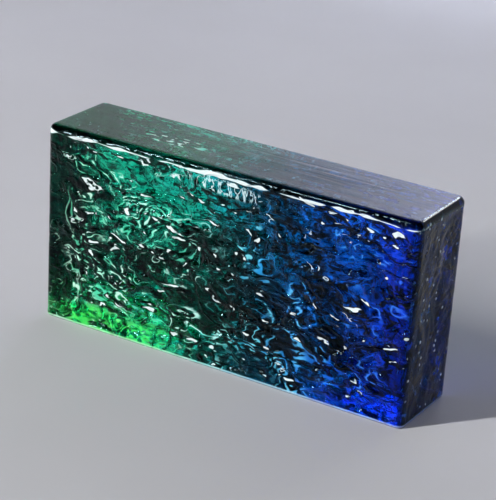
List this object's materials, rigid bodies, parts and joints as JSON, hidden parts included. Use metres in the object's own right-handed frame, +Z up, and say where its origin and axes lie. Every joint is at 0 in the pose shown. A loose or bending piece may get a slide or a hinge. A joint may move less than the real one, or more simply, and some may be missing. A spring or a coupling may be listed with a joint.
{
  "type": "cast crystal glass block",
  "caption": "Solid rippled glass brick for walls and screens, standing on its long narrow side, shading from green at one end to blue at the other.",
  "frame": {"origin": "centre of the underside, on the level that the block stands on", "axes": "+X along the 200 mm length towards the blue end, +Y through the thickness, away from the front face, +Z up towards the smooth pour face"},
  "size_m": [0.2, 0.046, 0.1],
  "materials": {
    "cast_glass": "clear cast glass tinted through, green at the -X end passing to teal and then blue at the +X end; bright fire-polished pour face, rippled moulded sides"
  },
  "bodies": {
    "root": {"glass_block": "cast_glass"}
  },
  "joints": []
}
